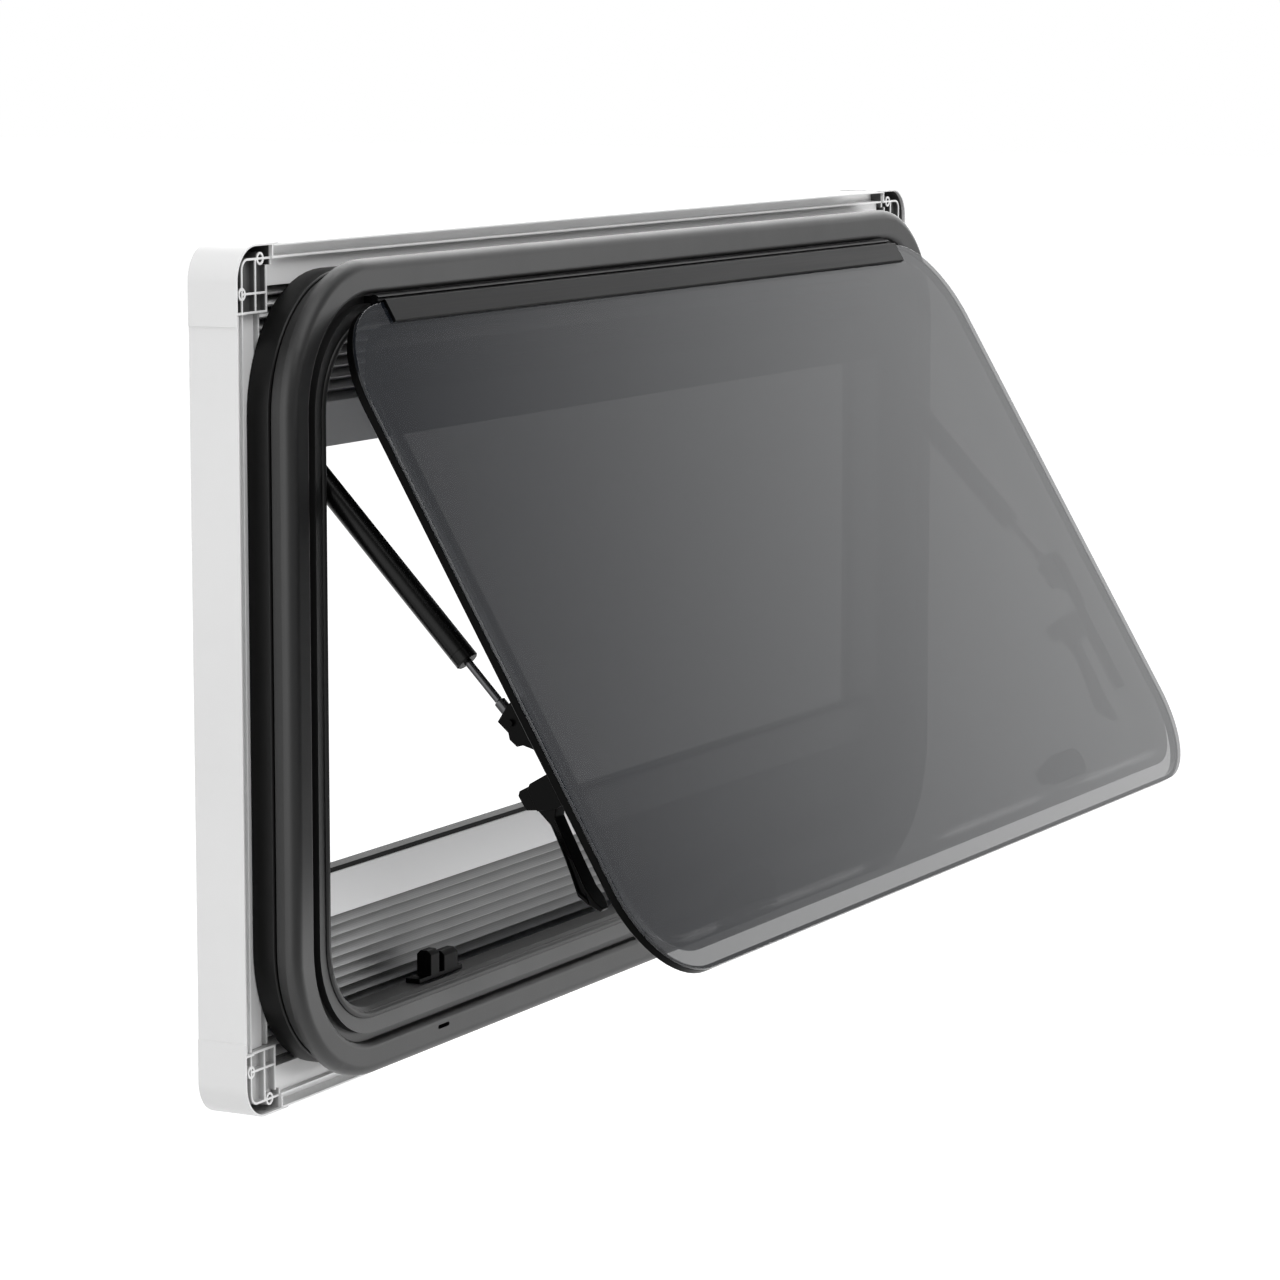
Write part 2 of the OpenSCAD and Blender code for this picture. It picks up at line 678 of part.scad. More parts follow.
outer_frame();
clamp_frame();
wall_seal();
sash_seal();
hinge_rail();
hinge_strip();
outer_pane();
edge_trim();
inner_pane();
frame_bracket(-1);  // left_frame_bracket
frame_bracket(1);  // right_frame_bracket
stay_tube(-1);  // left_stay_tube
stay_tube(1);  // right_stay_tube
stay_rod(-1);  // left_stay_rod
stay_rod(1);  // right_stay_rod
sash_bracket(-1);  // left_sash_bracket
sash_bracket(1);  // right_sash_bracket
latch_base(-1);  // left_latch_base
latch_base(1);  // right_latch_base
latch_lever(-1);  // left_latch_lever
latch_lever(1);  // right_latch_lever
bottom_latch(-1);  // left_bottom_latch
bottom_latch(1);  // right_bottom_latch
bottom_lever(-1);  // left_bottom_lever
bottom_lever(1);  // right_bottom_lever
keeper(-1);  // left_keeper
keeper(1);  // right_keeper
corner_cap(-1, true);  // top_left_corner
corner_cap(1, true);  // top_right_corner
corner_cap(-1, false);  // bottom_left_corner
corner_cap(1, false);  // bottom_right_corner
level_rail(true);  // top_rail
level_rail(false);  // bottom_rail
side_rail(-1);  // left_rail
side_rail(1);  // right_rail
flyscreen();
upper_end_rail();
blind();
lower_end_rail();
blind_strip();
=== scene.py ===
"""Looks of a top-hung caravan window, held open on two stays, with its blind cassette.

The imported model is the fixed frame: every piece here rides on it, and every length is in metres.
"""
import logging
import math
import random
from dataclasses import dataclass
from enum import Enum
from typing import Iterable

import bmesh
import bpy
from bmesh.types import BMEdge, BMesh, BMVert
from mathutils import Matrix, Vector


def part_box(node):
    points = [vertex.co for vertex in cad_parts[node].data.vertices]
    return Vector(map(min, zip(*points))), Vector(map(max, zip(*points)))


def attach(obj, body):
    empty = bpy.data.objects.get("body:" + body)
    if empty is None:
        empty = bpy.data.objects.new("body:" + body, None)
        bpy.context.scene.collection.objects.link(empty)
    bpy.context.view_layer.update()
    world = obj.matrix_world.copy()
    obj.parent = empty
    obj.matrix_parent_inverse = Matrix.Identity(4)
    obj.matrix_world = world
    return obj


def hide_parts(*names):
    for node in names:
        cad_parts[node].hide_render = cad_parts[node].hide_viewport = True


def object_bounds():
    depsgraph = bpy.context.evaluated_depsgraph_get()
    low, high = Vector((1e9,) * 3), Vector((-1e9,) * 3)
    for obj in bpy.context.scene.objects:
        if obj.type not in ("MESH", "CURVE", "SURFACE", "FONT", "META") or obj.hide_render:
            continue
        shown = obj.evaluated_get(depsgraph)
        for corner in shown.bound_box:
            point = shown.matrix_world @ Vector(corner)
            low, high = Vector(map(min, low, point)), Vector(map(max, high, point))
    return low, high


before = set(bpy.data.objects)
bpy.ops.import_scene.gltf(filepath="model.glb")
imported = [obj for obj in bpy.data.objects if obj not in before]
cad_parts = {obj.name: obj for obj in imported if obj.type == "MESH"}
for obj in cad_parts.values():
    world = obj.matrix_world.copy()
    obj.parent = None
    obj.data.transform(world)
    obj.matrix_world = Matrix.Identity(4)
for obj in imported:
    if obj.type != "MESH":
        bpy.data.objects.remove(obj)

Triple = tuple[float, float, float]
Colour = Triple

CAD_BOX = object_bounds()
MM = 0.001
WELD = 0.00002
POLISHED = 0.00001
FLAT_ANGLE = math.radians(0.5)
SHARP_ANGLE = math.radians(38)
FOLD_ANGLE = math.radians(20)
PLEAT = 7.8 * MM
WAVE_TURN = 20.0
WHITE = (1.0, 1.0, 1.0, 1.0)
log = logging.getLogger("caravan_window")


class Side(Enum):
    """Left or right half of the window, seen from outdoors."""

    LEFT = -1
    RIGHT = 1

    @property
    def word(self) -> str:
        """The side's name, as the nodes spell it."""
        return self.name.lower()


class Axis(Enum):
    """The direction in which a profile runs."""

    ACROSS = (1.0, 0.0, 0.0)
    UP = (0.0, 0.0, 1.0)


class Signal:
    """An output socket that grows Math nodes when it is used in a sum."""

    def __init__(self, tree: "Tree", socket: bpy.types.NodeSocket) -> None:
        """Wraps one output socket of a tree."""
        self.tree = tree
        self.socket = socket

    def _join(self, operation: str, first: object, second: object) -> "Signal":
        """Adds one Math node.

        Args:
            operation: The Math node's operation.
            first: A signal or a number.
            second: A signal or a number.

        Returns:
            The result as a new signal.
        """
        return self.tree.node("ShaderNodeMath", {"operation": operation}, {0: first, 1: second})

    def __add__(self, other: object) -> "Signal":
        """Sum."""
        return self._join("ADD", self, other)

    __radd__ = __add__

    def __mul__(self, other: object) -> "Signal":
        """Product."""
        return self._join("MULTIPLY", self, other)

    __rmul__ = __mul__

    def __sub__(self, other: object) -> "Signal":
        """Difference."""
        return self._join("SUBTRACT", self, other)

    def __rsub__(self, other: object) -> "Signal":
        """Difference from a number."""
        return self._join("SUBTRACT", other, self)

    def at_least(self, other: object) -> "Signal":
        """The larger of the two."""
        return self._join("MAXIMUM", self, other)

    def ramp(self, start: float, end: float, low: float = 0.0, high: float = 1.0) -> "Signal":
        """Runs from one level to another, and stays level before and after.

        Args:
            start: Value at which the ramp starts.
            end: Value at which it ends.
            low: Level up to the start.
            high: Level from the end on.

        Returns:
            The level as a new signal.
        """
        inputs = {"Value": self, "From Min": start, "From Max": end, "To Min": low, "To Max": high}
        return self.tree.node("ShaderNodeMapRange", {}, inputs)


class Tree:
    """The node tree of a material or of the world."""

    def __init__(self, tree: bpy.types.NodeTree) -> None:
        """Takes a tree and empties it.

        Args:
            tree: The tree.
        """
        self.nodes = tree.nodes
        self.links = tree.links
        self.nodes.clear()

    def node(self, kind: str, settings: dict, inputs: dict, output: object = 0) -> Signal:
        """Adds any node.

        Args:
            kind: The node's type.
            settings: Properties that are set first.
            inputs: Values or signals by socket name or number.
            output: Name or number of the output that is used.

        Returns:
            The node's output as a signal.
        """
        made = self.nodes.new(kind)
        for key, value in settings.items():
            setattr(made, key, value)
        for key, value in inputs.items():
            self.feed(made.inputs[key], value)
        return Signal(self, made.outputs[output])

    def feed(self, socket: bpy.types.NodeSocket, value: object) -> None:
        """Links a signal to a socket, or sets the socket's own value.

        Args:
            socket: The input.
            value: A signal, a number or a colour.
        """
        if isinstance(value, Signal):
            self.links.new(value.socket, socket)
        else:
            socket.default_value = value

    def end(self, kind: str, shader: Signal) -> None:
        """Links a shader to a new output node of the given type."""
        self.feed(self.nodes.new(kind).inputs["Surface"], shader)

    def ray(self, name: str) -> Signal:
        """1 for the rays that a Light Path output names, 0 for all others."""
        return self.node("ShaderNodeLightPath", {}, {}, name)

    def along(self, source: str, axis: str) -> Signal:
        """One axis of a texture coordinate."""
        spot = self.node("ShaderNodeTexCoord", {}, {}, source)
        return self.node("ShaderNodeSeparateXYZ", {}, {"Vector": spot}, axis)

    def vector(self, operation: str, *values: object, output: object = 0) -> Signal:
        """Adds one Vector Math node, fed with signals or points."""
        return self.node("ShaderNodeVectorMath", {"operation": operation}, dict(enumerate(values)), output)

    def choose(self, switch: Signal, off: object, on: object) -> Signal:
        """Takes one level where a switch is 0, and the other where it is 1."""
        return self.node("ShaderNodeMix", {}, {0: switch, 2: off, 3: on})


class Recipe(Tree):
    """The node tree of one material, with its Principled shader."""

    def __init__(self, name: str) -> None:
        """Makes a material that holds a shader and an output.

        Args:
            name: The material's name.
        """
        self.material = bpy.data.materials.new(name)
        self.material.use_nodes = True
        super().__init__(self.material.node_tree)
        self.shader = self.nodes.new("ShaderNodeBsdfPrincipled")
        self.end("ShaderNodeOutputMaterial", Signal(self, self.shader.outputs[0]))

    def set(self, **values: object) -> None:
        """Feeds the Principled shader, with underscores for the spaces of its socket names."""
        for key, value in values.items():
            self.feed(self.shader.inputs[key.replace("_", " ")], value)

    def place(self, stretch: Triple = (1.0, 1.0, 1.0)) -> Signal:
        """Object coordinates, stretched along each axis."""
        spot = self.node("ShaderNodeTexCoord", {}, {}, "Object")
        return self.node("ShaderNodeMapping", {}, {"Vector": spot, "Scale": stretch})

    def noise(self, scale: float, detail: float = 3.0, stretch: Triple = (1.0, 1.0, 1.0)) -> Signal:
        """Noise around a half.

        Args:
            scale: Waves to the metre.
            detail: Number of finer layers.
            stretch: Scale along each axis, for drawn or brushed surfaces.

        Returns:
            The noise as a signal from 0 to 1.
        """
        inputs = {"Vector": self.place(stretch), "Scale": scale, "Detail": detail}
        return self.node("ShaderNodeTexNoise", {}, inputs)

    def bands(self, axis: str, period: float, phase: float = 0.0, wobble: float = 0.0) -> Signal:
        """Smooth bands in even steps.

        Args:
            axis: Direction across the bands.
            period: Distance from band to band.
            phase: Start of the wave, in radians.
            wobble: Distortion of the bands.

        Returns:
            Waves from 0 to 1.
        """
        settings = {"wave_type": "BANDS", "bands_direction": axis, "wave_profile": "SIN"}
        inputs = {
            "Vector": self.place(), "Scale": math.tau / (WAVE_TURN * period), "Distortion": wobble,
            "Phase Offset": phase,
        }
        return self.node("ShaderNodeTexWave", settings, inputs, "Fac")

    def blend(self, amount: Signal, low: Colour, high: Colour) -> Signal:
        """Mixes two colours.

        Args:
            amount: Share of the second colour.
            low: First colour.
            high: Second colour.

        Returns:
            The colour as a signal.
        """
        settings = {"data_type": "RGBA", "clamp_factor": True}
        inputs = {"Factor": amount, 6: (*low, 1.0), 7: (*high, 1.0)}
        return self.node("ShaderNodeMix", settings, inputs, 2)

    def bump(self, height: Signal, depth: float) -> Signal:
        """Turns a height into a normal.

        Args:
            height: The height as a share of the depth.
            depth: Greatest height in metres.

        Returns:
            The normal as a signal.
        """
        inputs = {"Height": height, "Distance": depth, "Strength": 1.0}
        return self.node("ShaderNodeBump", {}, inputs, "Normal")


def grey(level: float) -> Colour:
    """A colour without a hue."""
    return (level, level, level)


def shade(colour: Colour, factor: float) -> Colour:
    """A colour made lighter or darker by one factor."""
    return tuple(min(1.0, part * factor) for part in colour)


def fold_count(node: str) -> int:
    """Number of whole pleats in a node's height."""
    low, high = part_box(node)
    return max(1, round((high.z - low.z) / PLEAT))


@dataclass(frozen=True)
class Moulded:
    """Moulded plastic or rubber with a fine eroded grain."""

    name: str
    colour: Colour
    roughness: float
    grain: float = 1400.0
    depth: float = 0.00004
    gloss: float = 0.5
    cloud: float = 0.12
    cloud_waves: float = 9.0
    rub_waves: float = 60.0
    rub_stretch: Triple = (1.0, 1.0, 0.4)
    rub_share: float = 0.3
    spread: float = 0.16

    def material(self) -> bpy.types.Material:
        """Builds the material.

        Returns:
            The material.
        """
        recipe = Recipe(self.name)
        cloud = recipe.noise(self.cloud_waves, detail=4.0)
        rub = recipe.noise(self.rub_waves, detail=5.0, stretch=self.rub_stretch)
        wear = cloud * (1 - self.rub_share) + rub * self.rub_share
        dark = shade(self.colour, 1 - self.cloud)
        pale = shade(self.colour, 1 + self.cloud)
        recipe.set(
            Base_Color=recipe.blend(wear, dark, pale),
            Roughness=wear * self.spread + (self.roughness - self.spread / 2),
            Normal=recipe.bump(recipe.noise(self.grain, detail=2.0), self.depth),
            Specular_IOR_Level=self.gloss,
        )
        return recipe.material


@dataclass(frozen=True)
class CapWithPaintedShade:
    """White moulded plastic, with painted shade on the walls inside a corner cap's hollow."""

    name: str
    colour: Colour
    hollow: Colour
    roughness: float = 0.38
    grain: float = 1600.0
    cloud_waves: float = 9.0
    spread: float = 0.16
    corner: float = 25.0 * MM
    setback: float = 2.0 * MM
    skin: float = 0.9 * MM
    skin_fade: float = 0.6 * MM
    rim: float = 0.3 * MM
    face: float = 0.5 * MM
    fade: float = 1.0 * MM

    def material(self) -> bpy.types.Material:
        """Builds the material.

        Returns:
            The material.
        """
        recipe = Recipe(self.name)
        cloud = recipe.noise(self.cloud_waves, detail=4.0)
        # The hollow colour is painted shade on the cap's walls, not a second plastic.
        recipe.set(
            Base_Color=recipe.blend(self._painted_shade_mask(recipe), self.colour, self.hollow),
            Roughness=cloud * self.spread + (self.roughness - self.spread / 2),
            Normal=recipe.bump(recipe.noise(self.grain, detail=2.0), POLISHED),
        )
        return recipe.material

    def _painted_shade_mask(self, recipe: Recipe) -> Signal:
        """Finds the walls of the hollow, behind their front edges, where shade is painted into the colour.

        Args:
            recipe: The material's recipe.

        Returns:
            1 inside the hollow, where the painted shade goes, 0 on the edges and outside.
        """
        (left, _, low), (right, back, high) = CAD_BOX
        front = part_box("top_left_corner")[0].y + self.setback
        middle = ((left + right) / 2, 0.0, (low + high) / 2)
        straight = ((right - left) / 2 - self.corner, 0.0, (high - low) / 2 - self.corner)
        offset = recipe.vector("ABSOLUTE", recipe.vector("SUBTRACT", recipe.place(), middle))
        beyond = recipe.vector("MAXIMUM", recipe.vector("SUBTRACT", offset, straight), grey(0.0))
        flat = recipe.vector("MULTIPLY", beyond, (1.0, 0.0, 1.0))
        inward = self.corner - recipe.vector("LENGTH", flat, output="Value")
        depth = recipe.along("Object", "Y")
        under_skin = inward.ramp(self.skin, self.skin + self.skin_fade)
        behind_rim = depth.ramp(front + self.rim, front + self.rim + self.fade)
        before_face = depth.ramp(back - self.face, back - self.face - self.fade)
        return under_skin * behind_rim * before_face


@dataclass(frozen=True)
class Extruded:
    """Extruded metal, coated or bare, with faint lines along its length."""

    name: str
    colour: Colour
    roughness: float
    along: Axis
    metallic: float = 0.0
    gloss: float = 0.5
    lines: float = 700.0
    drawn: float = 0.01
    depth: float = 0.00002
    cloud: float = 0.04
    cloud_waves: float = 7.0
    line_spread: float = 0.12
    cloud_spread: float = 0.06

    def material(self) -> bpy.types.Material:
        """Builds the material.

        Returns:
            The material.
        """
        recipe = Recipe(self.name)
        stretch = tuple(self.drawn if part else 1.0 for part in self.along.value)
        lines = recipe.noise(self.lines, stretch=stretch)
        cloud = recipe.noise(self.cloud_waves)
        smooth = self.roughness - (self.line_spread + self.cloud_spread) / 2
        dark = shade(self.colour, 1 - self.cloud)
        pale = shade(self.colour, 1 + self.cloud)
        recipe.set(
            Base_Color=recipe.blend(cloud, dark, pale),
            Metallic=self.metallic,
            Roughness=lines * self.line_spread + cloud * self.cloud_spread + smooth,
            Normal=recipe.bump(lines, self.depth),
            Specular_IOR_Level=self.gloss,
        )
        return recipe.material


@dataclass(frozen=True)
class Acrylic:
    """Tinted acrylic sheet that lets some light through."""

    name: str
    tint: Colour
    opacity: float
    smooth: float = 0.015
    haze: float = 0.1
    haze_waves: float = 5.0
    spread: float = 0.03
    bending: float = 1.49

    def material(self) -> bpy.types.Material:
        """Builds the material.

        Returns:
            The material.
        """
        recipe = Recipe(self.name)
        haze = recipe.noise(self.haze_waves, detail=5.0)
        recipe.set(
            Base_Color=recipe.blend(haze, shade(self.tint, 1 - self.haze), shade(self.tint, 1 + self.haze)),
            Roughness=haze * self.spread + self.smooth,
            Alpha=self.opacity,
            IOR=self.bending,
        )
        return recipe.material


@dataclass(frozen=True)
class Pleated:
    """Woven polyester for pleats: threads both ways, a random fade, and painted shade in the valleys between
    the front folds.
    """

    name: str
    colour: Colour
    pitch: float
    node: str
    # Darkest share of the colour: the dark end of the weave and fade, and the painted shade in the valleys.
    fade_and_valley_shade: float = 0.33
    thread_share: float = 0.2
    fade_share: float = 0.2
    fold_shade_share: float = 0.6
    fade_waves: float = 14.0
    wobble: float = 0.2
    relief: float = 0.2
    roughness: float = 0.85
    sheen: float = 0.25

    def material(self) -> bpy.types.Material:
        """Builds the material.

        Returns:
            The material.
        """
        recipe = Recipe(self.name)
        warp = recipe.bands("X", self.pitch, wobble=self.wobble)
        weft = recipe.bands("Z", self.pitch, wobble=self.wobble)
        cloth = warp * weft
        fade = recipe.noise(self.fade_waves)
        # Blend factor: weave and random fade are the cloth's own tone; the fold bands paint shade into the
        # valleys.
        weave_fade_and_fold_shade = cloth * self.thread_share + fade * self.fade_share + self._fold_shade(recipe) * self.fold_shade_share
        recipe.set(
            Base_Color=recipe.blend(weave_fade_and_fold_shade, shade(self.colour, self.fade_and_valley_shade), self.colour),
            Roughness=self.roughness,
            Normal=recipe.bump(cloth, self.pitch * self.relief),
            Sheen_Weight=self.sheen,
        )
        return recipe.material

    def _fold_shade(self, recipe: Recipe) -> Signal:
        """Bands in step with the folds, which carry the painted shade of the valleys.

        Args:
            recipe: The material's recipe.

        Returns:
            1 on the front folds, 0 in the valleys, where shade is painted.
        """
        low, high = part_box(self.node)
        fold = (high.z - low.z) / fold_count(self.node)
        return recipe.bands("Z", fold, math.pi - math.tau * low.z / fold)


Finish = Moulded | CapWithPaintedShade | Extruded | Acrylic | Pleated

FRAME_BLACK = Moulded("frame_black", (0.007, 0.007, 0.0072), 0.48, grain=1100.0)
CLAMP_BLACK = Moulded("clamp_black", grey(0.003), 0.42, grain=1100.0, gloss=0.25)
RUBBER = Moulded("rubber_black", grey(0.004), 0.5, grain=900.0)
STRIP_BLACK = Moulded("strip_black", grey(0.002), 0.6, grain=900.0, gloss=0.1)
TRIM_BLACK = Moulded("edge_black", grey(0.001), 0.3, grain=400.0, depth=POLISHED, gloss=0.03)
LATCH_BLACK = Moulded("latch_black", grey(0.0015), 0.34, gloss=0.04)
SCREW_STEEL = Moulded("screw_steel", grey(0.012), 0.3, grain=500.0, depth=POLISHED, gloss=0.25)
HINGE_BLACK = Extruded("hinge_black", (0.0035, 0.0035, 0.0038), 0.42, Axis.ACROSS, gloss=0.06)
TUBE_BLACK = Extruded("stay_black", grey(0.002), 0.28, Axis.UP, gloss=0.12)
ROD_STEEL = Extruded("stay_steel", (0.05, 0.05, 0.052), 0.22, Axis.UP, metallic=0.9)
# The level rails have the same white as the upright ones, painted lighter to make up for the shade on the
# top rail's web.
RAIL_ACROSS_PAINTED_LIGHTER = Extruded("rail_white_level_painted_lighter", grey(0.88), 0.38, Axis.ACROSS)
RAIL_UP = Extruded("rail_white_upright", grey(0.80), 0.38, Axis.UP)
END_RAIL = Extruded("end_rail_grey", (0.82, 0.82, 0.825), 0.4, Axis.ACROSS)
# Both caps are one white plastic; their hollow colours are painted shade, deep in the top caps and faint in
# the bottom ones.
CAP_TOP_DEEP_SHADE = CapWithPaintedShade("cap_white_top_deep_shade", grey(0.80), grey(0.07))
CAP_BOTTOM_FAINT_SHADE = CapWithPaintedShade("cap_white_bottom_faint_shade", grey(0.80), grey(0.46))
OUTER_ACRYLIC = Acrylic("acrylic_tint", (0.0095, 0.0118, 0.0165), 0.59)
INNER_ACRYLIC = Acrylic("acrylic_inner", (0.0065, 0.0125, 0.025), 0.67)
# Both cloths carry painted shade in their pleat valleys.
BLIND_CLOTH = Pleated("blind_pleat", grey(0.96), 0.6 * MM, "blind")
SCREEN_CLOTH = Pleated("screen_pleat", grey(0.98), 0.9 * MM, "flyscreen")


class Paints:
    """Keeps one material for each finish."""

    made: dict[str, bpy.types.Material] = {}

    @classmethod
    def of(cls, finish: Finish) -> bpy.types.Material:
        """Finds the material of a finish, and builds it on first use.

        Args:
            finish: The finish.

        Returns:
            Its material.
        """
        if finish.name not in cls.made:
            cls.made[finish.name] = finish.material()
        return cls.made[finish.name]


@dataclass(frozen=True)
class Edges:
    """How the sharp edges of a copied node are rounded."""

    width: float
    segments: int = 2
    angle: float = math.radians(28)


@dataclass(frozen=True)
class SashPlane:
    """The open sash: a point by its place across, its height over the pane's front and its way down."""

    pin_y: float = -11.3 * MM
    pin_z: float = 537.1 * MM
    pin_behind: float = 6.0 * MM
    pane_drop: float = 4.0 * MM
    angle: float = math.radians(30.3)

    def matrix(self) -> Matrix:
        """Turns the closed sash, drawn from its top edge, to its open place.

        Returns:
            The turn about the hinge's pin.
        """
        turn = Matrix.Rotation(-self.angle, 4, "X")
        pin = Matrix.Translation((0.0, self.pin_y, self.pin_z))
        return pin @ turn @ Matrix.Translation((0.0, -self.pin_behind, -self.pane_drop))

    def point(self, across: float, height: float, down: float) -> Vector:
        """A point of the sash in the window's frame."""
        return self.matrix() @ Vector((across, height, -down))

    def inward(self) -> Vector:
        """The sash's direction towards the room."""
        return (self.matrix().to_3x3() @ Vector((0.0, 1.0, 0.0))).normalized()


SASH = SashPlane()


def new_piece(name: str, shape: BMesh, finish: Finish) -> bpy.types.Object:
    """Turns a bmesh into a finished piece of the window.

    Args:
        name: The piece's name.
        shape: Its mesh, in place. It is freed.
        finish: Its finish.

    Returns:
        The object, riding on the window.
    """
    mesh = bpy.data.meshes.new(name)
    for face in shape.faces:
        face.smooth = True
    shape.to_mesh(mesh)
    shape.free()
    mesh.set_sharp_from_angle(angle=SHARP_ANGLE)
    mesh.materials.append(Paints.of(finish))
    piece = bpy.data.objects.new(name, mesh)
    bpy.context.scene.collection.objects.link(piece)
    even = piece.modifiers.new("even_normals", "WEIGHTED_NORMAL")
    even.keep_sharp = True
    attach(piece, "root")
    return piece


def welded(node: str) -> BMesh:
    """Merges a copy of a node's mesh and makes its flat faces whole.

    Args:
        node: The node's name.

    Returns:
        The copy.
    """
    shape = bmesh.new()
    shape.from_mesh(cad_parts[node].data)
    bmesh.ops.remove_doubles(shape, verts=shape.verts, dist=WELD)
    bmesh.ops.dissolve_limit(
        shape, angle_limit=FLAT_ANGLE, verts=shape.verts, edges=shape.edges, delimit={"NORMAL"}
    )
    return shape


def soften(node: str, edges: Edges, finish: Finish) -> bpy.types.Object:
    """Stands a copy with rounded edges in the place of a node.

    Args:
        node: The node's name.
        edges: How its edges are rounded.
        finish: Its finish.

    Returns:
        The piece that replaces the node.
    """
    shape = welded(node)
    sharp = [edge for edge in shape.edges if edge.is_manifold and edge.calc_face_angle(0.0) > edges.angle]
    bmesh.ops.bevel(
        shape, geom=sharp, offset=edges.width, offset_type="OFFSET", segments=edges.segments,
        profile=0.5, affect="EDGES", clamp_overlap=True, material=-1,
    )
    bmesh.ops.remove_doubles(shape, verts=shape.verts, dist=WELD / 4)
    piece = new_piece(f"{node}_look", shape, finish)
    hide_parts(node)
    return piece


@dataclass
class OuterFrame:
    """The frame outside the wall, its clamp frame and both seals."""

    edge: Edges = Edges(0.35 * MM)
    seal_edge: Edges = Edges(0.15 * MM)

    def build(self) -> list[bpy.types.Object]:
        """Makes the frame's pieces.

        Returns:
            The frame, the clamp frame and the two seals.
        """
        return [
            soften("outer_frame", self.edge, FRAME_BLACK),
            soften("clamp_frame", self.edge, CLAMP_BLACK),
            soften("wall_seal", self.edge, RUBBER),
            soften("sash_seal", self.seal_edge, RUBBER),
        ]


@dataclass
class Sash:
    """Both panes with the black edge, and the hinge that carries them."""

    outer_edge: Edges = Edges(0.5 * MM, 3)
    inner_edge: Edges = Edges(0.6 * MM, 3)
    trim_edge: Edges = Edges(0.4 * MM, 3)
    rail_edge: Edges = Edges(0.2 * MM)
    strip_edge: Edges = Edges(0.3 * MM)
    hair: float = 0.05 * MM

    def build(self) -> list[bpy.types.Object]:
        """Makes the sash and its hinge.

        Returns:
            The panes, their edge, and the hinge's rail and strip.
        """
        return [
            soften("outer_pane", self.outer_edge, OUTER_ACRYLIC),
            self._inner(),
            soften("edge_trim", self.trim_edge, TRIM_BLACK),
            soften("hinge_rail", self.rail_edge, HINGE_BLACK),
            soften("hinge_strip", self.strip_edge, HINGE_BLACK),
        ]

    def _inner(self) -> bpy.types.Object:
        """Makes the inner pane, a hair off the outer one, so that the two sheets share no plane.

        Returns:
            The inner pane.
        """
        pane = soften("inner_pane", self.inner_edge, INNER_ACRYLIC)
        for vert in pane.data.vertices:
            vert.co += SASH.inward() * self.hair
        return pane


@dataclass
class Stay:
    """One telescopic stay with its two brackets."""

    side: Side
    edge: Edges = Edges(0.3 * MM)

    def build(self) -> list[bpy.types.Object]:
        """Makes the stay of this side.

        Returns:
            The tube, the rod and both brackets.
        """
        word = self.side.word
        return [
            soften(f"{word}_stay_tube", self.edge, TUBE_BLACK),
            soften(f"{word}_stay_rod", self.edge, ROD_STEEL),
            soften(f"{word}_frame_bracket", self.edge, LATCH_BLACK),
            soften(f"{word}_sash_bracket", self.edge, LATCH_BLACK),
        ]


@dataclass
class Latches:
    """The side latch, the bottom latch and the keeper of one side."""

    side: Side
    edge: Edges = Edges(0.7 * MM, 3)

    def build(self) -> list[bpy.types.Object]:
        """Makes the latches of this side."""
        names = ("latch_base", "latch_lever", "bottom_latch", "bottom_lever", "keeper")
        return [soften(f"{self.side.word}_{name}", self.edge, LATCH_BLACK) for name in names]


